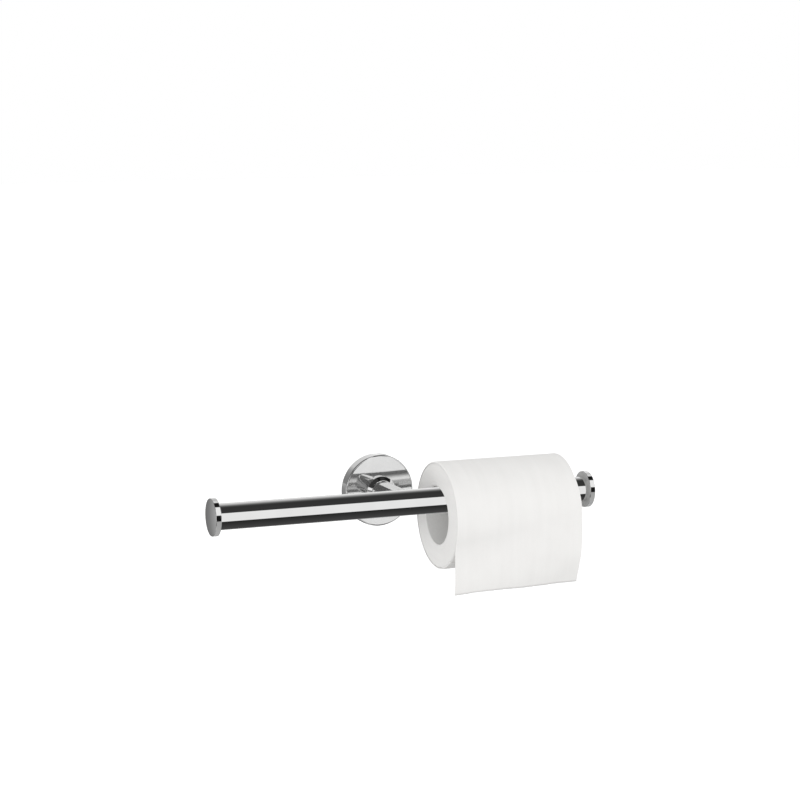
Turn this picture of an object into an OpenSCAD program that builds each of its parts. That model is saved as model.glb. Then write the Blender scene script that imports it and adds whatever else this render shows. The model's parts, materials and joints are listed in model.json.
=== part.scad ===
/* [Bar] */
// Overall length of the bar with both end caps
bar_length = 312; // [280:1:400]
// Outer diameter of the bar tube
bar_d = 20; // [19:0.5:22]
// Wall thickness of the bar tube
bar_wall = 1.5; // [1:0.1:2]
// Distance from the wall to the axis of the bar
bar_reach = 64; // [60:1:80]
// Diameter of the disc at each end of the bar
cap_d = 28.5; // [26:0.1:32]
// Thickness of the disc at each end of the bar, at its middle
cap_t = 5.2; // [4:0.1:6]
// How far the face of that disc bulges
cap_crown = 1; // [0.2:0.1:1.5]

/* [Post and rosette] */
// Diameter of the post that carries the bar
post_d = 18; // [17:0.5:18.5]
// Diameter of the round cover against the wall
rosette_d = 56.5; // [54:0.5:64]
// Depth of the round cover, at its middle
rosette_depth = 11; // [10.2:0.1:12]
// How far the face of the cover bulges between the ring and its edge
rosette_crown = 0.8; // [0.4:0.1:1]
// Wall thickness of the round cover
rosette_wall = 1.5; // [1:0.1:1.5]
// Outer diameter of the ring round the foot of the post
collar_d = 24; // [23:0.5:28]
// How far the ring stands proud of the cover
collar_proud = 6; // [4:0.1:6.5]

/* [Wall bracket] */
// Diameter of the bracket's base plate
bracket_d = 46; // [45:0.5:48]
// Thickness of the bracket's base plate
bracket_t = 3.5; // [2.5:0.1:3.5]
// Distance between the centres of the two wall screw slots
slot_spacing = 32; // [31:0.5:33]
// Width of each wall screw slot
slot_w = 5; // [4:0.1:5.4]
// Length of each wall screw slot from end to end
slot_length = 8; // [7:0.1:8.5]
// Diameter of the spigot that the post slides over
spigot_d = 10; // [9:0.1:10.4]

/* [Paper roll] */
// Width of the paper roll
roll_w = 103; // [95:0.5:110]
// Outer diameter of the paper roll
roll_d = 82; // [60:1:90]
// Inner diameter of the cardboard core
core_id = 45; // [40:0.5:48]
// Wall thickness of the cardboard core
core_wall = 0.8; // [0.5:0.1:1.5]
// Distance from the middle of the post to the roll's left end
roll_start = 26; // [12:0.5:26]
// How far the loose end of the paper hangs below the bar's axis
sheet_drop = 67.5; // [60:0.5:90]
// Length of the loose paper from its free end, at most once round the roll: two perforated sheets
sheet_length = 280; // [230:5:290]

/* [Hidden] */
$fn = 96;

// Overshoot that makes a cut pass cleanly through a face
over = 1;
// Radial gap of a plug in its tube
fit_gap = 0.03;

// Bar
bar_r = bar_d / 2;
tube_end = bar_length / 2 - cap_t;
tube_ir = bar_r - bar_wall;
insert_l = 26;
plug_l = 14;
plug_gap = 0.5;

// End caps: a disc with a boss that goes inside the tube
cap_r = cap_d / 2;
cap_edge = 0.4;
crown_r = (cap_r * cap_r + cap_crown * cap_crown) / (2 * cap_crown);
boss_l = 6;
stud_r = 2.5;
stud_l = 16;
stud_in_cap = 5;
seal_r = 0.9;
seal_at = 3;
groove_w = 2.1;
groove_r = tube_ir - 2 * seal_r - 0.1;

// Wall bracket: a plate, a low boss and a spigot with a flat on its underside
base_r = 7.8;
base_top = 4.6;
spigot_r = spigot_d / 2;
spigot_end = 30;
spigot_chamfer = 0.8;
flat_from = 14;
flat_depth = 1;
head_sink = 1.2;
head_r = 4.6;

// Post: a neck through the cover, a socket for the spigot, then a bolt hole to the bar
post_r = post_d / 2;
neck_r = 7.5;
socket_r = spigot_r + 0.1;
socket_end = 40;
bolt_hole_r = 3.1;
grub_at = 21;
grub_r = 2.5;
grub_sunk = 0.6;
grub_point = 0.8;
grub_key = 2.5;
grub_key_depth = 2;

// Bolt that pulls the bar onto the post
bolt_r = 3;
bolt_head_r = 4.9;
bolt_head_l = 6;
bolt_key = 5;
bolt_key_depth = 3;
bolt_past_axis = 5;
washer_r = 4.9;
washer_t = 1.6;
washer_split = 1.4;

// Cover, nut and ring
rosette_r = rosette_d / 2;
rosette_edge = 1.1;
rosette_face_r = rosette_r - rosette_edge;
rosette_edge_top = rosette_depth - rosette_crown;
rosette_inner_top = rosette_edge_top - rosette_wall;
rosette_hole_r = neck_r + 0.1;
nut_r = 11;
nut_t = 3;
nut_flats = 18;
collar_r = collar_d / 2;
collar_cone = 2.8;
collar_lip = 0.2;

// The ball that the cover's face is part of, from the flat seat of the ring to the rounded edge
dome_depth = (pow(rosette_face_r, 2) - pow(collar_r, 2) + pow(rosette_crown, 2)) / (2 * rosette_crown);
dome_r = norm([collar_r, dome_depth]);

// Paper roll, whose core hangs on the top of the bar
roll_r = roll_d / 2;
core_ir = core_id / 2;
core_or = core_ir + core_wall;
core_lift = 0.6;
roll_z = bar_r + core_lift - core_ir;

// Loose paper: once round the roll as its outer turn, then down from its front
sheet_t = 0.5;
sheet_gap = 0.3;
sheet_in = roll_r + sheet_gap;
sheet_leave = -18;
sheet_lean = 4;
sheet_top = sheet_in * [cos(sheet_leave), sin(sheet_leave)];
sheet_bottom = [sheet_top.x - sheet_lean, -sheet_drop - roll_z];
sheet_on_roll = sheet_length - norm(sheet_top - sheet_bottom);
full_turn = 345;
sheet_wrap = min(full_turn, sheet_on_roll / (sheet_in + sheet_t / 2) * 180 / PI);

// ---- placing ----

// A shape drawn along +Z points out of the wall, along -Y
module from_wall(distance = 0) {
    translate([0, -distance, 0]) rotate([90, 0, 0]) children();
}

// A shape drawn along +Z runs along the bar, to the right (side = 1) or to the left (side = -1)
module along_bar(side, start) {
    translate([side * start, -bar_reach, 0]) rotate([0, side * 90, 0]) children();
}

// ---- shared shapes ----

module chamfered_disc(r, h, edge) {
    rotate_extrude()
        polygon([[0, 0], [r - edge, 0], [r, edge], [r, h - edge], [r - edge, h], [0, h]]);
}

module tube(outer, inner, h) {
    difference() {
        cylinder(r = outer, h = h);
        translate([0, 0, -over]) cylinder(r = inner, h = h + 2 * over);
    }
}

module hex_socket(across_flats, depth) {
    translate([0, 0, -over]) cylinder(r = across_flats / 2 / cos(30), h = depth + over, $fn = 6);
}

// A slot along X whose ends are half circles of radius r
module slot(r, h) {
    half = (slot_length - slot_w) / 2;
    for (side = [-1, 1])
        translate([side * half, 0, 0]) cylinder(r = r, h = h);
    translate([-half, -r, 0]) cube([2 * half, 2 * r, h]);
}

// ---- wall bracket ----

module bracket_body() {
    straight = spigot_end - spigot_chamfer;
    chamfered_disc(bracket_d / 2, bracket_t, cap_edge);
    cylinder(r = base_r, h = base_top);
    cylinder(r = spigot_r, h = straight);
    translate([0, 0, straight])
        cylinder(r1 = spigot_r, r2 = spigot_r - spigot_chamfer, h = spigot_chamfer);
}

module wall_bracket() {
    color("silver")
        from_wall()
            difference() {
                bracket_body();
                for (side = [-1, 1])
                    translate([side * slot_spacing / 2, 0, 0]) {
                        translate([0, 0, -over]) slot(slot_w / 2, bracket_t + 2 * over);
                        translate([0, 0, bracket_t - head_sink]) slot(head_r, head_sink + over);
                    }
                translate([-spigot_d, flat_depth - spigot_r - spigot_d, flat_from])
                    cube([2 * spigot_d, spigot_d, spigot_end]);
            }
}

// ---- cover, nut and ring at the wall ----

module rosette_profile() {
    inner_r = rosette_r - rosette_wall;
    difference() {
        union() {
            square([rosette_r, rosette_edge_top - rosette_edge]);
            square([rosette_face_r, rosette_edge_top]);
            translate([rosette_face_r, rosette_edge_top - rosette_edge])
                circle(r = rosette_edge, $fn = 64);
            intersection() {
                square([rosette_face_r, rosette_depth]);
                translate([0, rosette_depth - dome_depth]) circle(r = dome_r, $fn = 1440);
            }
        }
        translate([0, -over]) square([inner_r, rosette_inner_top + over]);
        translate([0, -over]) square([rosette_hole_r, rosette_depth + 2 * over]);
    }
}

module rosette() {
    color("gainsboro") from_wall() rotate_extrude($fn = 128) rosette_profile();
}

module rosette_nut() {
    color("darkgoldenrod")
        from_wall(rosette_inner_top - nut_t)
            difference() {
                intersection() {
                    cylinder(r = nut_r, h = nut_t);
                    translate([-nut_r, -nut_flats / 2, 0]) cube([2 * nut_r, nut_flats, nut_t]);
                }
                translate([0, 0, -over]) cylinder(r = neck_r, h = nut_t + 2 * over);
            }
}

module collar_ring() {
    color("gainsboro")
        from_wall(rosette_depth)
            rotate_extrude()
                polygon([
                    [post_r, 0],
                    [collar_r, 0],
                    [collar_r, collar_proud - collar_cone],
                    [post_r + collar_lip, collar_proud],
                    [post_r, collar_proud]
                ]);
}

// ---- post and the screws in it ----

module post() {
    color("gainsboro")
        difference() {
            union() {
                from_wall(rosette_depth) cylinder(r = post_r, h = bar_reach - rosette_depth);
                from_wall(base_top) cylinder(r = neck_r, h = rosette_depth - base_top + over);
            }
            along_bar(1, -post_d) cylinder(r = bar_r, h = 2 * post_d);
            from_wall(base_top - over) cylinder(r = socket_r, h = socket_end - base_top + over);
            from_wall(socket_end - over) cylinder(r = bolt_hole_r, h = bar_reach - socket_end);
            translate([0, -grub_at, -post_d]) cylinder(r = grub_r, h = post_d);
        }
}

module grub_screw() {
    length = post_r - grub_sunk - (spigot_r - flat_depth);
    color("dimgray")
        translate([0, -grub_at, grub_sunk - post_r])
            difference() {
                union() {
                    cylinder(r = grub_r, h = length - grub_point);
                    translate([0, 0, length - grub_point])
                        cylinder(r1 = grub_r, r2 = grub_r - grub_point, h = grub_point);
                }
                hex_socket(grub_key, grub_key_depth);
            }
}

module post_bolt() {
    seat = socket_end - washer_t;
    color("dimgray")
        from_wall(seat - bolt_head_l)
            difference() {
                union() {
                    chamfered_disc(bolt_head_r, bolt_head_l, cap_edge);
                    cylinder(r = bolt_r, h = bolt_head_l + bar_reach + bolt_past_axis - seat);
                }
                hex_socket(bolt_key, bolt_key_depth);
            }
}

module lock_washer() {
    color("slategray")
        from_wall(socket_end - washer_t)
            difference() {
                tube(washer_r, bolt_hole_r, washer_t);
                translate([0, -washer_split / 2, -over])
                    cube([washer_r + over, washer_split, washer_t + 2 * over]);
            }
}

// ---- bar ----

module bar_tube() {
    color("whitesmoke")
        difference() {
            along_bar(1, -tube_end) tube(bar_r, tube_ir, 2 * tube_end);
            from_wall(bar_reach - bar_r - over) cylinder(r = bolt_hole_r, h = bar_r);
        }
}

module bar_insert() {
    color("darkgoldenrod")
        difference() {
            along_bar(1, -insert_l / 2) cylinder(r = tube_ir - fit_gap, h = insert_l);
            from_wall(bar_reach - bar_r) cylinder(r = bolt_r, h = bar_d);
        }
}

module end_plug(side) {
    color("darkgoldenrod")
        along_bar(side, tube_end - boss_l - plug_gap - plug_l)
            tube(tube_ir - fit_gap, stud_r, plug_l);
}

module cap_studs() {
    color("dimgray")
        for (side = [-1, 1])
            along_bar(side, tube_end - boss_l + stud_in_cap - stud_l)
                cylinder(r = stud_r, h = stud_l);
}

module cap_seal(side) {
    color("black")
        along_bar(side, tube_end - seal_at)
            rotate_extrude()
                translate([tube_ir - seal_r - fit_gap, 0]) circle(r = seal_r, $fn = 32);
}

// A disc with beveled edges, whose face is part of a large ball
module end_disc() {
    bevel = cap_edge + cap_crown;
    rotate_extrude()
        intersection() {
            polygon([
                [0, 0],
                [cap_r - cap_edge, 0],
                [cap_r, cap_edge],
                [cap_r, cap_t - bevel],
                [cap_r - bevel, cap_t],
                [0, cap_t]
            ]);
            translate([0, cap_t - crown_r]) circle(r = crown_r, $fn = 1440);
        }
}

module end_cap(side) {
    color("gainsboro")
        along_bar(side, tube_end - boss_l)
            difference() {
                union() {
                    cylinder(r = tube_ir - fit_gap, h = boss_l + cap_edge);
                    translate([0, 0, boss_l]) end_disc();
                }
                translate([0, 0, boss_l - seal_at - groove_w / 2]) tube(bar_r, groove_r, groove_w);
                translate([0, 0, -over]) cylinder(r = stud_r, h = stud_in_cap + over);
            }
}

// ---- paper roll and its loose end ----

module roll_tube(outer, inner) {
    translate([roll_start, 0, roll_z]) along_bar(1, 0) tube(outer, inner, roll_w);
}

module roll_core() {
    color("lightgray") roll_tube(core_or, core_ir, $fn = 128);
}

module paper_roll() {
    color("white") roll_tube(roll_r, core_or, $fn = 180);
}

// Seen from the right: +X here is towards the room and +Y is up, from the roll's own axis
module sheet_profile() {
    steps = 12;
    reach = 2 * sheet_in;
    sector = [
        for (i = [0:steps])
            let (angle = sheet_leave + sheet_wrap * i / steps)
                reach * [cos(angle), sin(angle)]
    ];
    wide = sheet_t / cos(sheet_leave);
    intersection() {
        difference() {
            circle(r = sheet_in + sheet_t, $fn = 180);
            circle(r = sheet_in, $fn = 180);
        }
        polygon(concat([[0, 0]], sector));
    }
    polygon([sheet_top, sheet_bottom, sheet_bottom + [sheet_t, 0], sheet_top + [wide, 0]]);
}

module hanging_sheet() {
    color("snow")
        translate([roll_start + roll_w, -bar_reach, roll_z])
            rotate([90, 0, -90])
                linear_extrude(height = roll_w) sheet_profile();
}

wall_bracket();
rosette();
collar_ring();
rosette_nut();
post();
grub_screw();
post_bolt();
lock_washer();
bar_tube();
bar_insert();
end_plug(-1);  // end_plug_left
end_plug(1);  // end_plug_right
cap_studs();
cap_seal(-1);  // cap_seal_left
cap_seal(1);  // cap_seal_right
end_cap(-1);  // end_cap_left
end_cap(1);  // end_cap_right
roll_core();
paper_roll();
hanging_sheet();
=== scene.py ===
"""The looks of a toilet paper holder: chromed bar, end discs, post and rosette, and a part-used roll."""

import json
import math

import bpy
from mathutils import Matrix, Vector, noise


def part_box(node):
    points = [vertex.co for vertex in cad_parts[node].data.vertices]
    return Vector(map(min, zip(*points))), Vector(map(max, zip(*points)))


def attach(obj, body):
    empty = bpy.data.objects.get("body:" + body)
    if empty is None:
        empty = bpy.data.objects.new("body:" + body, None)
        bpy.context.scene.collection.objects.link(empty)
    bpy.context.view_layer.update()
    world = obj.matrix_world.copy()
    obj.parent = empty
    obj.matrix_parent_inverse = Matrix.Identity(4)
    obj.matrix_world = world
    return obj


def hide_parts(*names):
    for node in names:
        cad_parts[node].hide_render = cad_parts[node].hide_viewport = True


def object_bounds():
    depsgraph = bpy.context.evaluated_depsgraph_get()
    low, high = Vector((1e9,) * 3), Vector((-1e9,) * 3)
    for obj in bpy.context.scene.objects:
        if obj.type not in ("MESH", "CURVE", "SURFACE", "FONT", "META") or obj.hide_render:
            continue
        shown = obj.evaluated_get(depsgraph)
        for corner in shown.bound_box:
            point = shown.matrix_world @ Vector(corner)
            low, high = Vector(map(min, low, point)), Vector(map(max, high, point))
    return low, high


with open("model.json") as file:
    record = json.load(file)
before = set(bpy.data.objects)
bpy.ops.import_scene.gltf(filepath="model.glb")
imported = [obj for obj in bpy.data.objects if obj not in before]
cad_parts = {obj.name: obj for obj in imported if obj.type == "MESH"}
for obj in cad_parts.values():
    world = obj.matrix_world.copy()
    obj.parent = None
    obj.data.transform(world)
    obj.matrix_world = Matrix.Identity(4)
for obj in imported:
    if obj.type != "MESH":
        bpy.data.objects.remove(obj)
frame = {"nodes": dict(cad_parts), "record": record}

MM = 0.001
CAD_LOW, CAD_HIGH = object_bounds()

# ---- places and sizes taken from the frame ----

BAR_LOW, BAR_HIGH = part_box("bar_tube")
BAR_MID = (BAR_LOW + BAR_HIGH) / 2
BAR_R = (BAR_HIGH.z - BAR_LOW.z) / 2
ROLL_LOW, ROLL_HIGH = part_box("paper_roll")
ROLL_MID = (ROLL_LOW + ROLL_HIGH) / 2
ROLL_R = (ROLL_HIGH.z - ROLL_LOW.z) / 2
ROLL_WIDTH = ROLL_HIGH.x - ROLL_LOW.x
CORE_LOW, CORE_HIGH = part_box("roll_core")
CORE_R = (CORE_HIGH.z - CORE_LOW.z) / 2
CAP_LOW, CAP_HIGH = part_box("end_cap_right")
CAP_R = (CAP_HIGH.z - CAP_LOW.z) / 2
CAP_THICK = CAP_HIGH.x - BAR_HIGH.x
BOSS_LENGTH = BAR_HIGH.x - CAP_LOW.x
SHEET_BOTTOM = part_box("hanging_sheet")[0].z
ROSETTE_LOW, ROSETTE_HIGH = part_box("rosette")
ROSETTE_R = (ROSETTE_HIGH.x - ROSETTE_LOW.x) / 2
ROSETTE_DEPTH = ROSETTE_HIGH.y - ROSETTE_LOW.y
COLLAR_LOW, COLLAR_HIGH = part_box("collar_ring")
COLLAR_R = (COLLAR_HIGH.x - COLLAR_LOW.x) / 2
COLLAR_PROUD = COLLAR_HIGH.y - COLLAR_LOW.y
POST_LOW, POST_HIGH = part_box("post")
POST_R = (POST_HIGH.x - POST_LOW.x) / 2

# ---- sizes that the frame's boxes don't give ----

TUBE_BORE_R = BAR_R - 1.5 * MM
CAP_CROWN = 1.0 * MM
ROSETTE_CROWN = 0.8 * MM
ROSETTE_WALL = 1.5 * MM
CORE_WALL = 0.8 * MM
SHEET_LENGTH = 280 * MM
SHEET_HALF = 0.15 * MM
SHEET_R = ROLL_R + 0.45 * MM
PERFORATION_WIDTH = 0.5 * MM
PERFORATION_PITCH = 2.0 * MM
PERFORATION_CUT = 0.62


# ---- node helpers ----


def add_node(tree, kind, inputs=None, **settings):
    """A new node with its settings, and with each input linked to a socket or set to a value."""
    made = tree.nodes.new(kind)
    for name, value in settings.items():
        setattr(made, name, value)
    for name, value in (inputs or {}).items():
        if isinstance(value, bpy.types.NodeSocket):
            tree.links.new(value, made.inputs[name])
        else:
            made.inputs[name].default_value = value
    return made


def add_math(tree, operation, *values):
    """The result of a Math node on sockets or numbers."""
    inputs = dict(enumerate(values))
    return add_node(tree, "ShaderNodeMath", inputs, operation=operation).outputs[0]


def scaled(tree, value, by, plus=0.0):
    """value multiplied by one number or socket, plus another."""
    return add_math(tree, "MULTIPLY_ADD", value, by, plus)


def add_ramp(tree, factor, stops):
    """The colour of a ramp through stops: pairs of a place from 0 to 1 and a grey level or colour."""
    made = add_node(tree, "ShaderNodeValToRGB", {"Fac": factor})
    ramp = made.color_ramp
    while len(ramp.elements) < len(stops):
        ramp.elements.new(1.0)
    for element, (place, level) in zip(ramp.elements, stops):
        element.position = place
        element.color = (*level, 1) if isinstance(level, tuple) else (level, level, level, 1)
    return made.outputs["Color"]


def add_noise(tree, vector, scale, detail=2.0, roughness=0.5):
    """The grey value of a noise at vector. scale is one number, or one for each axis."""
    if isinstance(scale, (tuple, list)):
        vector = add_node(tree, "ShaderNodeMapping", {"Vector": vector, "Scale": scale}).outputs["Vector"]
        scale = 1.0
    inputs = {"Vector": vector, "Scale": scale, "Detail": detail, "Roughness": roughness}
    return add_node(tree, "ShaderNodeTexNoise", inputs).outputs["Fac"]


def add_bump(tree, height, distance, normal=None):
    """A normal bent by height, whose full range stands for distance metres."""
    inputs = {"Height": height, "Distance": distance, "Strength": 1.0}
    if normal is not None:
        inputs["Normal"] = normal
    return add_node(tree, "ShaderNodeBump", inputs).outputs["Normal"]


def new_material(name, **uniform):
    """A material, its node tree and its Principled shader, with the uniform values set on the shader."""
    material = bpy.data.materials.new(name)
    material.use_nodes = True
    shader = material.node_tree.nodes["Principled BSDF"]
    for socket, value in uniform.items():
        shader.inputs[socket.replace("_", " ")].default_value = value
    return material, material.node_tree, shader


def join(tree, shader, **results):
    """Links each result to the shader's socket of that name."""
    for socket, result in results.items():
        tree.links.new(result, shader.inputs[socket.replace("_", " ")])


def object_place(tree):
    """Position on the object, in metres."""
    return add_node(tree, "ShaderNodeTexCoord").outputs["Object"]


# ---- materials ----

PLATE_WAVE = 0.004 * MM


def chrome():
    """Polished chrome plate: a mirror with the faintest waviness and a few hairline wipe marks."""
    material, tree, shader = new_material("chrome_plate", Metallic=1.0)
    place = object_place(tree)
    cloud = add_noise(tree, place, scale=45.0, detail=3.0)
    hairline = add_noise(tree, place, scale=(120.0, 2600.0, 2600.0))
    marks = add_ramp(tree, hairline, [(0.60, 0.0), (0.72, 1.0)])
    base = add_ramp(tree, cloud, [(0.35, (0.855, 0.855, 0.852)), (0.65, (0.885, 0.885, 0.88))])
    gloss = scaled(tree, marks, by=0.02, plus=0.018)
    wavy = add_bump(tree, add_noise(tree, place, scale=55.0, detail=1.0), PLATE_WAVE)
    join(tree, shader, Base_Color=base, Roughness=gloss, Normal=wavy)
    return material


def satin_chrome():
    """Chrome plate over a brushed face, on sides a polishing wheel can't reach, with painted light at the
    top.
    """
    material, tree, shader = new_material("satin_chrome", Metallic=0.5)
    place = object_place(tree)
    height = add_node(tree, "ShaderNodeSeparateXYZ", {"Vector": place}).outputs["Z"]
    grain = add_noise(tree, place, scale=(900.0, 900.0, 4200.0), detail=3.0)
    cloud = add_noise(tree, place, scale=300.0, detail=3.0)
    # Painted light: the base colour is made lighter towards the top, by height alone
    painted_light_up = scaled(tree, height, by=1.2, plus=0.3)
    shade = scaled(tree, cloud, by=0.25, plus=painted_light_up)
    base = add_ramp(tree, shade, [(0.3, (0.70, 0.70, 0.695)), (0.7, (0.80, 0.80, 0.795))])
    gloss = scaled(tree, grain, by=0.16, plus=0.5)
    join(tree, shader, Base_Color=base, Roughness=gloss, Normal=add_bump(tree, grain, 0.02 * MM))
    return material


def hazy_chrome():
    """Chrome plate with a thin veil of haze over its mirror, as a large pressed face has."""
    material, tree, shader = new_material("hazy_chrome", Metallic=0.84, Specular_IOR_Level=0.2)
    place = object_place(tree)
    cloud = add_noise(tree, place, scale=70.0, detail=3.0)
    base = add_ramp(tree, cloud, [(0.35, (0.80, 0.80, 0.797)), (0.65, (0.845, 0.845, 0.842))])
    gloss = scaled(tree, add_noise(tree, place, scale=900.0), by=0.04, plus=0.03)
    wavy = add_bump(tree, add_noise(tree, place, scale=55.0, detail=1.0), PLATE_WAVE)
    join(tree, shader, Base_Color=base, Roughness=gloss, Normal=wavy)
    return material


def cast_zinc():
    """Die-cast zinc as it leaves the tumbler: dull grey, with a fine orange-peel grain."""
    material, tree, shader = new_material("cast_zinc", Metallic=1.0)
    place = object_place(tree)
    cloud = add_noise(tree, place, scale=130.0, detail=4.0)
    grain = add_noise(tree, place, scale=1800.0)
    base = add_ramp(tree, cloud, [(0.3, (0.50, 0.51, 0.52)), (0.7, (0.66, 0.67, 0.68))])
    gloss = scaled(tree, cloud, by=0.25, plus=0.34)
    join(tree, shader, Base_Color=base, Roughness=gloss, Normal=add_bump(tree, grain, 0.05 * MM))
    return material


def turned(name, dark, light, axis, pitch):
    """Metal off the lathe: fine tool rings a pitch apart along axis (0, 1 or 2)."""
    material, tree, shader = new_material(name, Metallic=1.0)
    place = object_place(tree)
    along = add_node(tree, "ShaderNodeSeparateXYZ", {"Vector": place}).outputs[axis]
    rings = add_math(tree, "SINE", scaled(tree, along, by=2 * math.pi / pitch))
    cloud = add_noise(tree, place, scale=260.0, detail=4.0)
    base = add_ramp(tree, cloud, [(0.3, dark), (0.7, light)])
    gloss = scaled(tree, cloud, by=0.2, plus=0.17)
    join(tree, shader, Base_Color=base, Roughness=gloss, Normal=add_bump(tree, rings, 0.01 * MM))
    return material


def seal_rubber():
    """Black nitrile rubber with a little bloom."""
    material, tree, shader = new_material("seal_rubber")
    cloud = add_noise(tree, object_place(tree), scale=900.0, detail=4.0)
    base = add_ramp(tree, cloud, [(0.35, (0.018, 0.018, 0.019)), (0.75, (0.05, 0.05, 0.052))])
    gloss = scaled(tree, cloud, by=0.2, plus=0.5)
    join(tree, shader, Base_Color=base, Roughness=gloss, Normal=add_bump(tree, cloud, 0.03 * MM))
    return material


def board():
    """Grey recycled board, with soft fibre mottle."""
    material, tree, shader = new_material("grey_board", Roughness=0.88)
    place = object_place(tree)
    mottle = add_noise(tree, place, scale=700.0, detail=5.0, roughness=0.65)
    fibres = add_noise(tree, place, scale=(500.0, 2600.0, 2600.0), detail=3.0)
    base = add_ramp(tree, mottle, [(0.3, (0.87, 0.865, 0.85)), (0.7, (0.93, 0.925, 0.91))])
    join(tree, shader, Base_Color=base, Normal=add_bump(tree, fibres, 0.06 * MM))
    return material


def tissue(name, place_of, along):
    """White tissue: crepe wrinkles across its length, fibres, and soft streaks along it.

    place_of gives a place on the paper in metres, and along is the axis of its length there.
    """
    material, tree, shader = new_material(name, Roughness=0.93, Sheen_Weight=0.08, Sheen_Roughness=0.6)
    place = place_of(tree)
    crepe_scale = [300.0, 300.0, 300.0]
    crepe_scale[along] = 2300.0
    streak_scale = [170.0, 170.0, 170.0]
    streak_scale[along] = 14.0
    crepe = add_noise(tree, place, crepe_scale, detail=3.0, roughness=0.6)
    fibres = add_noise(tree, place, scale=1500.0, detail=4.0, roughness=0.7)
    streaks = add_noise(tree, place, streak_scale, detail=3.0)
    clouds = add_noise(tree, place, scale=60.0, detail=3.0)
    shade = scaled(tree, streaks, by=0.6, plus=scaled(tree, clouds, by=0.4))
    base = add_ramp(tree, shade, [(0.32, (0.875, 0.867, 0.851)), (0.68, (0.912, 0.904, 0.888))])
    gloss = scaled(tree, fibres, by=0.1, plus=0.86)
    soft = add_bump(tree, streaks, 0.3 * MM)
    wrinkled = add_bump(tree, crepe, 0.05 * MM, normal=soft)
    fuzzy = add_bump(tree, fibres, 0.02 * MM, normal=wrinkled)
    join(tree, shader, Base_Color=base, Roughness=gloss, Normal=fuzzy)
    return material, tree, shader


def paper_map(tree):
    """Place on the flat sheet, in metres: across it, then along it from its free end."""
    return add_node(tree, "ShaderNodeUVMap", uv_map="Paper").outputs["UV"]


def loose_tissue():
    """The tissue of the loose sheets, with the perforation between them."""
    material, tree, shader = tissue("loose_tissue", paper_map, 1)
    across, along = add_node(tree, "ShaderNodeSeparateXYZ", {"Vector": paper_map(tree)}).outputs[:2]
    from_line = add_math(tree, "ABSOLUTE", add_math(tree, "SUBTRACT", along, SHEET_LENGTH / 2))
    near = add_math(tree, "LESS_THAN", from_line, PERFORATION_WIDTH / 2)
    cycle = add_math(tree, "FRACT", scaled(tree, across, by=1 / PERFORATION_PITCH))
    slit = add_math(tree, "MULTIPLY", near, add_math(tree, "LESS_THAN", cycle, PERFORATION_CUT))
    plain = shader.inputs["Normal"].links[0].from_socket
    cut = add_bump(tree, add_math(tree, "SUBTRACT", 1.0, slit), 0.25 * MM, normal=plain)
    join(tree, shader, Normal=cut)
    return material


CHROME = chrome()
SATIN_CHROME = satin_chrome()
HAZY_CHROME = hazy_chrome()

# The finishes of the CAD nodes that aren't replaced, by their slot in the record
FINISHES = {
    "chrome": CHROME,
    "zinc": cast_zinc(),
    "brass": turned("turned_brass", (0.62, 0.44, 0.18), (0.80, 0.62, 0.30), axis=0, pitch=0.35 * MM),
    "screw_steel": turned("satin_steel", (0.42, 0.43, 0.44), (0.60, 0.61, 0.62), axis=1, pitch=0.4 * MM),
    "seal_rubber": seal_rubber(),
}


# ---- shapes ----

# The least part of a facet's normal along an axis on a face that is flat across that axis
FLAT = 0.9


def new_piece(name, body, mesh, material):
    """A piece in place on its body, with its material."""
    mesh.materials.append(material)
    made = bpy.data.objects.new(name, mesh)
    bpy.context.scene.collection.objects.link(made)
    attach(made, body)
    return made


def mix(first, second, share):
    """The value at share of the way from first to second."""
    return first + (second - first) * share


def ease(share):
    """share held from 0 to 1, with soft ends."""
    held = min(1.0, max(0.0, share))
    return held * held * (3 - 2 * held)


def noise_at(*place):
    """Smooth noise from about -1 to 1 at a place given by three numbers."""
    return noise.noise(Vector(place))


def noise_round(along, angle, cells):
    """Noise that changes with along and with angle, and meets itself after a whole turn."""
    return noise_at(along, math.cos(angle) * cells, math.sin(angle) * cells)


def bezier(points, share):
    """The point at share of the way along a cubic curve."""
    while len(points) > 1:
        points = [here.lerp(after, share) for here, after in zip(points, points[1:])]
    return points[0]


def arc(centre, radius, start, end, steps):
    """Points of an arc, each with its outward normal, as pairs of (distance from the axis, height)."""
    made = []
    for step in range(steps + 1):
        angle = start + (end - start) * step / steps
        normal = Vector((math.cos(angle), math.sin(angle)))
        made.append((centre + normal * radius, normal))
    return made


def rounded(corners, steps=4):
    """Points and normals of an open outline through corners (distance, height, rounding radius).

    The outline runs with the solid on its left, and its first and last corners aren't rounded.
    """
    made = []
    places = [Vector(corner[:2]) for corner in corners]
    for index, (here, corner) in enumerate(zip(places, corners)):
        before = places[index - 1] if index else None
        after = places[index + 1] if index + 1 < len(places) else None
        ahead = (after - here).normalized() if after else (here - before).normalized()
        behind = (here - before).normalized() if before else ahead
        normal = Vector((behind.y, -behind.x))
        turn = math.atan2(behind.x * ahead.y - behind.y * ahead.x, behind.dot(ahead))
        if before is None or after is None:
            made.append((here, normal))
            continue
        radius = corner[2] * (1 if turn > 0 else -1)
        centre = here - behind * corner[2] * math.tan(abs(turn) / 2) - normal * radius
        first = math.atan2(normal.y, normal.x)
        made += arc(centre, radius, first, first + turn, steps)
    return made


def domed(radius, top, ball, shoulder, until):
    """A face that is part of a large ball, from the side at radius round a shoulder and in to until.

    top is the height of the ball's highest point, on the axis.
    """
    low = top - ball
    centre = Vector((radius - shoulder, low + math.sqrt((ball - shoulder) ** 2 - (radius - shoulder) ** 2)))
    meet = math.atan2(centre.y - low, centre.x)
    last = math.acos(until / ball)
    return arc(centre, shoulder, 0, meet, 10) + arc(Vector((0, low)), ball, meet, last, 24)[1:]


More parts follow.
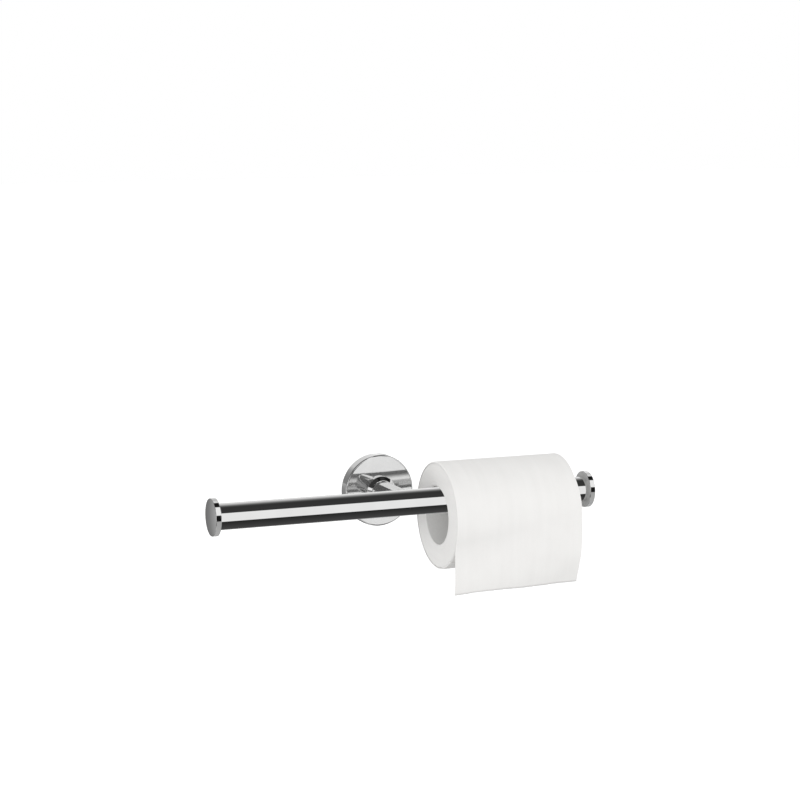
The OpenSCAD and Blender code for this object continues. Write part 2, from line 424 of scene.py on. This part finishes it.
def split(outline, parts_between):
    """The closed outline with each stretch split evenly into parts_between(its start, its end) parts."""
    made = []
    for start, end in zip(outline, outline[1:] + outline[:1]):
        count = parts_between(start, end)
        for index in range(count):
            made.append(tuple(first.lerp(last, index / count) for first, last in zip(start, end)))
    return made


def closer(outline, step):
    """The closed outline with points added so that none are further apart than step."""
    return split(outline, lambda start, end: max(1, math.ceil((end[0] - start[0]).length / step)))


def lathe(name, outline, origin, axis, closed=False, segments=192, ripple=None):
    """A mesh turned from an outline about axis.

    ripple gives how far a point stands proud, from (distance from the axis, height, angle, normal).
    Without it the mesh keeps the outline's exact normals, which polished metal needs.
    """
    on_axis = 0.001 * MM
    axis = Vector(axis)
    side = axis.orthogonal().normalized()
    other = axis.cross(side)
    vertices, normals, rings = [], [], []
    for place, normal in outline:
        count = segments if place.x > on_axis else 1
        rings.append([len(vertices) + step for step in range(count)])
        for step in range(count):
            angle = 2 * math.pi * step / segments
            out = side * math.cos(angle) + other * math.sin(angle)
            proud = ripple(place.x, place.y, angle, normal) if ripple else 0.0
            facing = (out * normal.x if count > 1 else Vector()) + axis * normal.y
            vertices.append(Vector(origin) + out * place.x + axis * place.y + facing * proud)
            normals.append(facing.normalized())
    faces = []
    for lower, upper in zip(rings, rings[1:] + (rings[:1] if closed else [])):
        for step in range(segments):
            after = (step + 1) % segments
            corners = [lower[step % len(lower)], lower[after % len(lower)],
                       upper[after % len(upper)], upper[step % len(upper)]]
            faces.append(list(dict.fromkeys(corners)))
    mesh = bpy.data.meshes.new(name)
    mesh.from_pydata(vertices, [], faces)
    mesh.shade_smooth()
    if ripple is None:
        mesh.normals_split_custom_set_from_vertices(normals)
    return mesh


# ---- chromed pieces with true mirror curves ----


def leaning_rim(outline, lean):
    """The outline with the mirror of its upright rim turned outwards by lean, as a rim with draft has it."""
    rim_depth = 0.2 * MM
    made = []
    for place, normal in outline:
        angle = math.atan2(normal.y, normal.x)
        on_rim = place.x > CAP_R - rim_depth and abs(angle) < lean
        made.append((place, Vector((math.cos(lean), math.sin(lean))) if on_rim else normal))
    return made


def end_disc(side):
    """The disc at one end of the bar, with its boss, its seal groove and its stud hole."""
    edge, back_edge, shoulder = 0.15 * MM, 0.4 * MM, 0.35 * MM
    draft = math.radians(8)
    boss_play, groove_depth = 0.03 * MM, 1.9 * MM
    boss = TUBE_BORE_R - boss_play
    groove = TUBE_BORE_R - groove_depth
    groove_from, groove_to = -4.05 * MM, -1.95 * MM
    stud, stud_end = 2.5 * MM, -1.0 * MM
    ball = (CAP_R ** 2 + CAP_CROWN ** 2) / (2 * CAP_CROWN)
    face = domed(CAP_R, CAP_THICK, ball, shoulder, until=0.0)
    inside = rounded([
        (0, stud_end, 0),
        (stud, stud_end, edge),
        (stud, -BOSS_LENGTH, edge),
        (boss, -BOSS_LENGTH, 2 * edge),
        (boss, groove_from, edge),
        (groove, groove_from, edge),
        (groove, groove_to, edge),
        (boss, groove_to, edge),
        (boss, 0, edge),
        (CAP_R, 0, back_edge),
        (CAP_R, face[0][0].y, 0),
    ])
    origin = (side * BAR_HIGH.x, BAR_MID.y, BAR_MID.z)
    name = "right" if side > 0 else "left"
    outline = leaning_rim(inside + face[1:], draft)
    mesh = lathe("end_disc_" + name, outline, origin, (side, 0, 0))
    piece = new_piece("end_disc_" + name, "holder", mesh, CHROME)
    mesh.materials.append(SATIN_CHROME)
    back_from = BAR_HIGH.x - 0.05 * MM
    for facet in mesh.polygons:
        on_back = facet.normal.x * side < -FLAT and facet.center.x * side > back_from
        facet.material_index = 1 if on_back else 0
    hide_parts("end_cap_" + name)


def wall_rosette():
    """The round cover on the wall: a thin dish with a softly domed face and a rounded edge."""
    edge, shoulder = 0.2 * MM, 1.4 * MM
    inside_post = 1.4 * MM
    below_shoulder = 0.1 * MM
    hole = POST_R - inside_post
    rim = ROSETTE_R - shoulder
    ball = (rim ** 2 - COLLAR_R ** 2) / (2 * ROSETTE_CROWN)
    top = ROSETTE_DEPTH - math.sqrt(ball ** 2 - COLLAR_R ** 2) + ball
    face = domed(ROSETTE_R, top, ball, shoulder, until=COLLAR_R)
    inner = ROSETTE_DEPTH - ROSETTE_CROWN - ROSETTE_WALL
    rest = rounded([
        (COLLAR_R - edge, ROSETTE_DEPTH, 0),
        (hole, ROSETTE_DEPTH, edge),
        (hole, inner, edge),
        (ROSETTE_R - ROSETTE_WALL, inner, 2 * edge),
        (ROSETTE_R - ROSETTE_WALL, 0, edge),
        (ROSETTE_R, 0, edge),
        (ROSETTE_R, face[0][0].y - below_shoulder, 0),
    ])
    mesh = lathe("wall_rosette", face + rest, (0, ROSETTE_HIGH.y, 0), (0, -1, 0), closed=True, segments=256)
    piece = new_piece("wall_rosette", "holder", mesh, CHROME)
    mesh.materials.append(HAZY_CHROME)
    for facet in mesh.polygons:
        facet.material_index = 1 if facet.normal.y < -FLAT else 0
    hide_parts("rosette")


def foot_ring():
    """The ring round the foot of the post: a short cylinder that ends in a cone."""
    cone, lip, play = 2.8 * MM, 0.2 * MM, 0.02 * MM
    bore = POST_R + play
    outline = rounded([
        (bore, COLLAR_PROUD / 2, 0),
        (bore, 0, 0.1 * MM),
        (COLLAR_R, 0, 0.15 * MM),
        (COLLAR_R, COLLAR_PROUD - cone, 0.5 * MM),
        (bore + lip, COLLAR_PROUD, 0.1 * MM),
        (bore, COLLAR_PROUD, 0.05 * MM),
        (bore, COLLAR_PROUD / 2 + 0.1 * MM, 0),
    ])
    mesh = lathe("foot_ring", outline, (0, COLLAR_HIGH.y, 0), (0, -1, 0), closed=True)
    piece = new_piece("foot_ring", "holder", mesh, CHROME)
    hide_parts("collar_ring")


# ---- the roll ----

PAPER_PITCH = 0.9 * MM
TURN_PROUD = 0.10 * MM
WRAP_WAVE = 0.04 * MM
STRIP_PITCH = 96 * MM
STRIP_LAP = 0.10 * MM
CORE_WAVE = 0.03 * MM


def end_face_ripple(distance, height, angle, normal):
    """How the turns of paper stand proud of each other on the roll's ends, as one spiral."""
    # Numbers are cells for each turn, each metre or round the axis, and a seed
    on_end = abs(normal.y) ** 4
    turn = distance / PAPER_PITCH + angle / (2 * math.pi)
    group = noise_at(turn * 0.9, height * 40, 3.1)
    single = noise_round(turn * 2.1, angle, 1.5)
    wrap = noise_round(height * 90, angle, 2)
    return on_end * TURN_PROUD * (single + group) + (1 - on_end) * WRAP_WAVE * wrap


def tissue_roll():
    """The wound paper, with soft shoulders and turns that stand a little proud of each other."""
    inner, left_shoulder, right_shoulder = 0.5 * MM, 1.5 * MM, 0.7 * MM
    inset, play = 0.25 * MM, 0.02 * MM
    bore = CORE_R + play
    wide = ROLL_WIDTH - inset
    outline = rounded([
        (bore, ROLL_WIDTH / 2, 0),
        (bore, inset, inner),
        (ROLL_R, inset, left_shoulder),
        (ROLL_R, wide, right_shoulder),
        (bore, wide, inner),
        (bore, ROLL_WIDTH / 2 + inner, 0),
    ], steps=7)

    def parts_between(start, end):
        """More on the roll's ends, where the turns of paper show."""
        return 6 if abs(start[1].y) > FLAT and abs(end[1].y) > FLAT else 1

    spaced = split(closer(outline, 2.2 * MM), parts_between)
    origin = (ROLL_LOW.x, ROLL_MID.y, ROLL_MID.z)
    mesh = lathe("tissue_roll", spaced, origin, (1, 0, 0), closed=True, ripple=end_face_ripple)
    piece = new_piece("tissue_roll", "roll", mesh, tissue("wound_tissue", object_place, 1)[0])
    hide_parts("paper_roll")
    return piece


def core_ripple(distance, height, angle, normal):
    """The raised lap of the board strip that the core is wound from, a helix on its inside."""
    inside = max(0.0, -normal.x)
    turn = (height / STRIP_PITCH - angle / (2 * math.pi)) % 1.0
    lap = STRIP_LAP if turn < 0.06 else 0.0
    return inside * (lap + CORE_WAVE * noise_round(height * 120, angle, 3))


def board_core():
    """The core: a tube of grey board, a little shorter than the paper on it."""
    inset, edge = 0.45 * MM, 0.15 * MM
    inner = CORE_R - CORE_WALL + STRIP_LAP + CORE_WAVE
    # Up the outside and down the inside, so that the solid is on the left
    outline = rounded([
        (inner, ROLL_WIDTH / 2 + inset, 0),
        (inner, inset, edge),
        (CORE_R, inset, edge),
        (CORE_R, ROLL_WIDTH - inset, edge),
        (inner, ROLL_WIDTH - inset, edge),
        (inner, ROLL_WIDTH / 2 + 2 * inset, 0),
    ])
    origin = (ROLL_LOW.x, ROLL_MID.y, ROLL_MID.z)
    mesh = lathe("board_core", closer(outline, 1.2 * MM), origin, (1, 0, 0), closed=True, ripple=core_ripple)
    piece = new_piece("board_core", "roll", mesh, board())
    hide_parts("roll_core")
    return piece


# ---- the loose sheets ----


def hanging_line(across):
    """Where the paper leaves the roll and how it hangs, for a line at across from 0 (left) to 1 (right).

    Places are (out from the roll's axis towards the room, height). The first is on the roll.
    """
    steps = 60
    leave_left, leave_right = math.radians(-20), math.radians(2)
    out_left, out_right = 35.5 * MM, 35.1 * MM
    slope_left, slope_right = -0.20, -0.45
    reach_left, reach_right = 12 * MM, 25 * MM
    lifted_right, clear = 2.0 * MM, 0.1 * MM
    leave = mix(leave_left, leave_right, ease(across))
    start = Vector((math.cos(leave), math.sin(leave))) * SHEET_R + Vector((0, ROLL_MID.z))
    down = Vector((math.sin(leave), -math.cos(leave)))
    lift = lifted_right * (1 - (1 - across) ** 2)
    end = Vector((mix(out_left, out_right, across), SHEET_BOTTOM + clear + lift))
    arrive = Vector((mix(slope_left, slope_right, across), -1)).normalized()
    reach = mix(reach_left, reach_right, across)
    curve = [start, start + down * reach, end - arrive * reach, end]
    return leave, [bezier(curve, step / steps) for step in range(steps + 1)]


def paper_line(across, places_along):
    """The paper at distances from its free end, for a line at across.

    Gives the place and the outward normal of each as (out, height) pairs, and its distance along the
    paper from where that leaves the roll, which is negative on the roll.
    """
    tuck, tucked_length = 0.25 * MM, 30 * MM
    leave, line = hanging_line(across)
    reached = [0.0]
    for here, after in zip(line, line[1:]):
        reached.append(reached[-1] + (after - here).length)
    free = reached[-1]
    made = []
    for along in places_along:
        from_roll = free - along
        if from_roll > 0:
            index = next((i for i, far in enumerate(reached) if i and far >= from_roll), len(line) - 1)
            share = (from_roll - reached[index - 1]) / (reached[index] - reached[index - 1])
            place = line[index - 1].lerp(line[index], share)
            ahead = (line[index] - line[index - 1]).normalized()
            outward = Vector((-ahead.y, ahead.x))
        else:
            angle = leave - from_roll / SHEET_R
            outward = Vector((math.cos(angle), math.sin(angle)))
            # The last centimetres run in under the next turn
            tucked = tuck * ease((along - SHEET_LENGTH) / tucked_length + 1)
            place = outward * (SHEET_R - tucked) + Vector((0, ROLL_MID.z))
        made.append((place, outward, from_roll))
    return made


def sheet_offset(across, along, from_roll):
    """How far the paper stands proud: streaks round the roll, and soft waves where it hangs."""
    streak_height, wave_height, dent_height = 0.07 * MM, 0.9 * MM, 0.5 * MM
    curl_left, curl_right = 1.1 * MM, 0.3 * MM
    freed_length = 20 * MM
    x = across * ROLL_WIDTH
    hanging = ease(from_roll / freed_length)
    edge = min(x, ROLL_WIDTH - x)
    curl_r = mix(curl_left, curl_right, across)
    curl = curl_r - math.sqrt(curl_r ** 2 - max(0.0, curl_r - edge) ** 2)
    # Each noise has its cells per metre across and along the paper, and a seed
    streak = noise_at(x * 160, along * 9, 5.0) + 0.5 * noise_at(x * 330, along * 14, 1.0)
    wave = noise_at(x * 26, along * 22, 9.0)
    dent = noise_at(x * 75, along * 70, 2.0) * ease(across * 1.6 - 0.5)
    loose = wave_height * wave + dent_height * dent
    return streak_height * streak + hanging * loose - (1 - hanging) * curl


def right_drift(across, from_roll):
    """How far the right edge strays from the roll's end, where the paper leaves the roll."""
    most, soft = 1.3 * MM, 30 * MM
    above, below = 35 * MM, 45 * MM
    near = ease((from_roll + above) / soft) * ease((below - from_roll) / soft)
    return most * near * ease(across * 2 - 1)


def torn_edge(across):
    """How far the free end runs past or short of a straight line, where it was torn off."""
    x = across * ROLL_WIDTH
    fibres = 0.22 * MM * noise_at(x * 520, 0.0, 4.0)
    waves = 0.3 * MM * noise_at(x * 60, 0.0, 7.0)
    return fibres + waves


def loose_sheets():
    """The free end of the paper and the outer turn that it comes from, as one closed thin sheet."""
    columns, rows = 200, 150
    left_inset = 0.15 * MM
    torn_fade = 8
    shares = [0.5 - 0.5 * math.cos(math.pi * column / columns) for column in range(columns + 1)]
    outer, inner, flat = [], [], []
    for across in shares:
        torn = torn_edge(across)
        places_along = []
        for row in range(rows + 1):
            places_along.append(SHEET_LENGTH * row / rows + torn * (1 - row / rows) ** torn_fade)
        line = paper_line(across, places_along)
        x = mix(ROLL_LOW.x + left_inset, ROLL_HIGH.x, across)
        for along, (place, outward, from_roll) in zip(places_along, line):
            middle = place + outward * sheet_offset(across, along, from_roll)
            drift = right_drift(across, from_roll)
            for side, made in ((SHEET_HALF, outer), (-SHEET_HALF, inner)):
                point = middle + outward * side
                made.append((x + drift, ROLL_MID.y - point.x, point.y))
            flat.append((across * ROLL_WIDTH, along))
    count = rows + 1
    total = len(outer)
    faces = []
    for column in range(columns):
        for row in range(rows):
            corner = column * count + row
            quad = (corner, corner + count, corner + count + 1, corner + 1)
            faces.append(quad)
            faces.append(tuple(index + total for index in reversed(quad)))
    loop = list(range(rows))
    loop += [column * count + rows for column in range(columns)]
    loop += [columns * count + row for row in range(rows, 0, -1)]
    loop += [column * count for column in range(columns, 0, -1)]
    for here, after in zip(loop, loop[1:] + loop[:1]):
        faces.append((here, after, after + total, here + total))
    mesh = bpy.data.meshes.new("loose_sheets")
    mesh.from_pydata(outer + inner, [], faces)
    mesh.shade_smooth()
    paper = mesh.uv_layers.new(name="Paper")
    places = flat + flat
    for corner in mesh.loops:
        paper.data[corner.index].uv = places[corner.vertex_index]
    piece = new_piece("loose_sheets", "sheet", mesh, loose_tissue())
    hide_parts("hanging_sheet")
    return piece


# ---- set: floor, light and camera ----


def plain_floor():
    """A plain white floor well below the object, seen by the camera alone, and only from above."""
    size = 12.0
    below = 0.30
    z = CAD_LOW.z - below
    corners = [(-size, -size, z), (size, -size, z), (size, size, z), (-size, size, z)]
    mesh = bpy.data.meshes.new("floor")
    mesh.from_pydata(corners, [], [(0, 1, 2, 3)])
    floor = bpy.data.objects.new("floor", mesh)
    bpy.context.scene.collection.objects.link(floor)
    material, tree, shader = new_material("floor_white", Roughness=0.9, Emission_Strength=0.45)
    shader.inputs["Emission Color"].default_value = (1, 1, 1, 1)
    cloud = add_noise(tree, object_place(tree), scale=3.0)
    join(tree, shader, Base_Color=add_ramp(tree, cloud, [(0.3, 0.90), (0.7, 0.92)]))
    underside = add_node(tree, "ShaderNodeNewGeometry").outputs["Backfacing"]
    clear = add_node(tree, "ShaderNodeBsdfTransparent").outputs[0]
    one_sided = add_node(tree, "ShaderNodeMixShader", {0: underside, 1: shader.outputs["BSDF"], 2: clear})
    tree.links.new(one_sided.outputs[0], tree.nodes["Material Output"].inputs["Surface"])
    mesh.materials.append(material)
    floor.visible_glossy = False
    floor.visible_diffuse = False
    floor.visible_shadow = False


# The studio as polished metal sees it, as pairs of an angle and a level of light. Angles are in degrees
# round the bar's axis: 0 is towards the room, 90 is up and 180 or -180 is towards the wall.
STUDIO_BANDS = [
    (-180, 0.66),
    (-168, 0.48),
    (-150, 0.20),
    (-130, 0.07),
    (-112, 0.058),
    (-75, 0.042),
    (-37, 0.022),
    (-34.6, 0.022),
    (-33.4, 0.90),
    (-5, 0.89),
    (37.4, 0.905),
    (38.6, 0.040),
    (92, 0.036),
    (105, 0.085),
    (120, 0.30),
    (137, 0.66),
    (156, 0.94),
    (170, 0.96),
    (180, 0.66),
]
# What takes their place in some directions: grey below, and above it a white panel between two black bars
SIDE_BANDS = [
    (-180, 0.50),
    (-60, 0.42),
    (-17, 0.40),
    (-15, 0.01),
    (18, 0.01),
    (20, 0.92),
    (69, 0.92),
    (71, 0.01),
    (102, 0.01),
    (104, 0.80),
    (130, 0.60),
    (180, 0.50),
]
# What takes their place to the left: nearly black, with one light panel above the horizon and one below,
# and grey towards the wall
LEFT_BANDS = [
    (-180, 0.50),
    (-150, 0.06),
    (-73, 0.05),
    (-70, 0.85),
    (-50, 0.85),
    (-44, 0.003),
    (33, 0.003),
    (36, 0.85),
    (52, 0.85),
    (55, 0.04),
    (92, 0.036),
    (120, 0.30),
    (180, 0.50),
]
BLACK = (0.003, 0.003, 0.003, 1)
WHITE = (1, 1, 1, 1)
# How much of the low wall's own light takes the place of the bands, round the bar's axis
LOW_WALL_SHARE = [(-180, 0.6), (-172.8, 1.0), (-154.8, 1.0), (-129.6, 0.0), (169.2, 0.0), (180, 0.6)]
# Low towards the wall, the studio is lighter at both sides. Places run from -1, all left, to 1, all right.
LOW_WALL_LIGHT = [(-0.6, 0.45), (-0.46, 0.33), (-0.28, 0.215), (-0.08, 0.17), (0.20, 0.14), (0.32, 0.42)]
# High towards the wall, the studio is dimmer on the left. Places are as above.
HIGH_WALL_DIM = [
    (-0.6, 0.20),
    (-0.34, 0.26),
    (-0.26, 0.38),
    (-0.18, 0.64),
    (0.16, 0.76),
    (0.28, 0.85),
    (0.36, 1.0),
]
# The studio as matt surfaces see it, from -1 (straight down) to 1 (straight up)
SOFT_LIGHT = [(-1, 0.182), (-0.3, 0.927), (0, 0.866), (0.6, 1.0), (1, 0.364)]


def turn_share(angle):
    """Where an angle round the bar's axis, from -180 to 180 degrees, lies on a ramp."""
    return (angle + 180) / 360


def side_share(part):
    """Where a part of a direction, from -1 to 1, lies on a ramp."""
    return (part + 1) / 2


def add_levels(tree, value, levels, share_of):
    """The light at value, from pairs of a place and a level, where share_of puts a place on the ramp."""
    return add_ramp(tree, value, [(share_of(place), level) for place, level in levels])


def window(tree, value, edges, share_of):
    """1 inside the window and 0 outside: it opens over the first two edges, closes over the next two..."""
    levels = [(edge, 1.0 if index % 4 in (1, 2) else 0.0) for index, edge in enumerate(edges)]
    return add_levels(tree, value, levels, share_of)


def add_blend(tree, share, first, second, kind="MIX"):
    """The colour first, changed towards second by share."""
    # For colours, the node has its inputs at 0, 6 and 7, and its result at 2
    return add_node(tree, "ShaderNodeMix", {0: share, 6: first, 7: second},
                    data_type="RGBA", blend_type=kind).outputs[2]


def polished_light(tree, x, to_room, z):
    """The banded panels that polished metal mirrors, for a direction."""
    turn = scaled(tree, add_math(tree, "ARCTAN2", z, to_room), by=0.5 / math.pi, plus=0.5)
    across = scaled(tree, x, by=0.5, plus=0.5)

    def round_bar(*edges):
        """A window on some of the angles round the bar's axis."""
        return window(tree, turn, edges, turn_share)

    def sideways(*edges):
        """A window on some of the way from all left (-1) to all right (1)."""
        return window(tree, across, edges, side_share)

    def both(first, second):
        """Where both windows are open."""
        return add_math(tree, "MULTIPLY", first, second)

    left = both(round_bar(-144, -122.4, 122.4, 144), sideways(-0.6, -0.57, -0.05, -0.04))
    bands = add_levels(tree, turn, STUDIO_BANDS, turn_share)
    bands = add_blend(tree, left, bands, add_levels(tree, turn, LEFT_BANDS, turn_share))

    # The side bands lie straight ahead and far to the right, low to the left, and lowest to the right
    ahead = both(round_bar(-172.8, -162, 122.4, 144), sideways(-0.06, -0.05, 0.14, 0.20, 0.52, 0.58))
    low_left = both(round_bar(-172.8, -162, -72, -57.6), sideways(-0.8, -0.76, -0.5, -0.46))
    lowest = both(round_bar(-169.2, -162, -108, -104.4), sideways(0.12, 0.13, 0.272, 0.28, 0.439, 0.445))
    beside = add_math(tree, "MAXIMUM", add_math(tree, "MAXIMUM", ahead, low_left), lowest)
    bands = add_blend(tree, beside, bands, add_levels(tree, turn, SIDE_BANDS, turn_share))

    # Two narrow black panels below the horizon, just left and a little right of straight ahead
    narrow = sideways(-0.06, -0.05, -0.02, -0.01, 0.096, 0.104, 0.20, 0.22)
    bands = add_blend(tree, both(round_bar(-45, -40, -15.1, -10.8), narrow), bands, BLACK)

    dim = add_levels(tree, across, HIGH_WALL_DIM, side_share)
    panels = add_blend(tree, round_bar(122.4, 144), bands, dim, "MULTIPLY")
    low_wall = add_levels(tree, across, LOW_WALL_LIGHT, side_share)
    return add_blend(tree, add_levels(tree, turn, LOW_WALL_SHARE, turn_share), panels, low_wall)


def soft_light(tree, x, to_room, z):
    """The soft light on matt surfaces: a little stronger from the left and from the room."""
    base, more_left, more_room = 1.107, 0.088, 0.178
    by_height = add_levels(tree, scaled(tree, z, by=0.5, plus=0.5), SOFT_LIGHT, side_share)
    facing = scaled(tree, to_room, by=more_room, plus=scaled(tree, x, by=-more_left, plus=base))
    light = add_node(tree, "ShaderNodeVectorMath", {0: by_height, "Scale": facing}, operation="SCALE")
    return light.outputs[0]


def studio_world():
    """White for the camera, soft even light for matt surfaces, and banded panels for polished ones."""
    world = bpy.data.worlds.new("studio")
    bpy.context.scene.world = world
    world.use_nodes = True
    tree = world.node_tree
    tree.nodes.clear()
    rays = add_node(tree, "ShaderNodeLightPath").outputs
    towards = add_node(tree, "ShaderNodeTexCoord").outputs["Generated"]
    x, y, z = add_node(tree, "ShaderNodeSeparateXYZ", {"Vector": towards}).outputs[:3]
    to_room = scaled(tree, y, by=-1.0)

    def background(colour):
        """A background of one colour or of a colour that changes with the direction."""
        return add_node(tree, "ShaderNodeBackground", {"Color": colour}).outputs[0]

    def chosen(is_second, first, second):
        """The second background for the rays where is_second holds, and the first for the others."""
        return add_node(tree, "ShaderNodeMixShader", {0: is_second, 1: first, 2: second}).outputs[0]

    for_matt = background(soft_light(tree, x, to_room, z))
    for_polished = background(polished_light(tree, x, to_room, z))
    lit = chosen(rays["Is Glossy Ray"], for_matt, for_polished)
    seen = chosen(rays["Is Camera Ray"], lit, background(WHITE))
    add_node(tree, "ShaderNodeOutputWorld", {"Surface": seen})


def camera():
    """The photograph's viewpoint: from the left and a little above."""
    azimuth = math.radians(21.71)
    elevation = math.radians(8.292)
    tilt = math.radians(-0.082)
    distance = 1.7480
    aim_right = -0.0038
    aim_up = 0.0785
    forward = Vector((math.sin(azimuth) * math.cos(elevation),
                      math.cos(azimuth) * math.cos(elevation),
                      -math.sin(elevation)))
    right = Vector((math.cos(azimuth), -math.sin(azimuth), 0))
    up = right.cross(forward)
    data = bpy.data.cameras.new("camera")
    data.sensor_width = 36.0
    data.lens = 102.82
    made = bpy.data.objects.new("camera", data)
    bpy.context.scene.collection.objects.link(made)
    right_tilted = right * math.cos(tilt) + up * math.sin(tilt)
    up_tilted = up * math.cos(tilt) - right * math.sin(tilt)
    place = BAR_MID + right * aim_right + up * aim_up - forward * distance
    turn = Matrix((right_tilted, up_tilted, -forward)).transposed().to_4x4()
    made.matrix_world = Matrix.Translation(place) @ turn
    bpy.context.scene.camera = made


camera()
studio_world()
plain_floor()
bpy.context.scene.view_settings.view_transform = "Standard"

for side in (-1, 1):
    end_disc(side)
wall_rosette()
foot_ring()
for paper in (tissue_roll(), board_core(), loose_sheets()):
    # The studio's mirrors hold no paper: the photograph's chrome shows the room alone
    paper.visible_glossy = False

for part in frame["record"]["subparts"]:
    finish = FINISHES.get(part["material_slot"])
    if finish:
        cad_node = frame["nodes"][part["node"]]
        for slot in cad_node.material_slots:
            slot.material = finish
